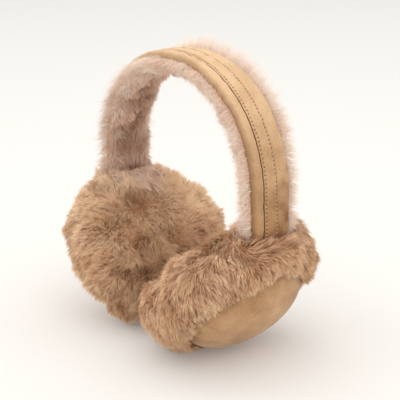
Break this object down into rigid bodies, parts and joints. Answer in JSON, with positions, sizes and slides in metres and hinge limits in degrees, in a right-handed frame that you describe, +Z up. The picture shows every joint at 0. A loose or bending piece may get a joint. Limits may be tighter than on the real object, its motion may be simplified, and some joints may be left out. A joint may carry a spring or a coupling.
{
  "type": "fur earmuffs",
  "caption": "Earmuffs with a fur-lined suede headband and two thick round fur ear pads, each with a domed suede disc outside.",
  "frame": {"origin": "on the ground, under the middle of the earmuffs, between the two pads", "axes": "+Z up to the crown of the headband, +X from the left pad to the right pad, +Y towards the back strip of suede"},
  "size_m": [0.171, 0.1065, 0.1699],
  "materials": {
    "suede": "soft brushed suede in light tan",
    "pad_fur": "dense short fur in warm brown",
    "lining_fur": "dense short fur in pale pinkish beige"
  },
  "bodies": {
    "root": {"headband_centre_strip": "suede", "headband_front_strip": "suede", "headband_back_strip": "suede", "headband_fur_lining": "lining_fur", "right_ear_pad_fur": "pad_fur", "right_ear_pad_disc": "suede", "left_ear_pad_fur": "pad_fur", "left_ear_pad_disc": "suede"}
  },
  "joints": []
}
